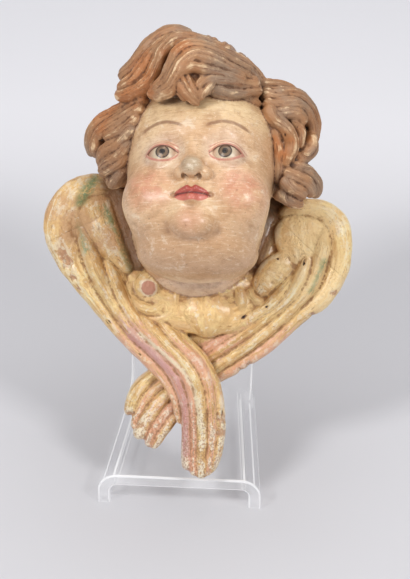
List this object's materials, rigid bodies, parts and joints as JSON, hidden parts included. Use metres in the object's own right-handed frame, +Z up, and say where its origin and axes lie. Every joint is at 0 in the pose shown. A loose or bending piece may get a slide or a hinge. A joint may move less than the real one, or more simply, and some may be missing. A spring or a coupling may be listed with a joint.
{
  "type": "carved angel head",
  "caption": "Carved wooden angel's head with curly hair and crossed fluted wings, leaning back on a clear bent-sheet stand.",
  "frame": {"origin": "middle of the footprint, on the floor under the stand's feet", "axes": "+Z up, -Y towards the viewer, +X to the viewer's right"},
  "size_m": [0.2444, 0.2078, 0.3651],
  "materials": {
    "painted_wood": "worn paint and gold leaf over gesso",
    "clear_acrylic": "clear polished"
  },
  "bodies": {
    "root": {"angel_head": "painted_wood", "display_stand": "clear_acrylic"}
  },
  "joints": []
}
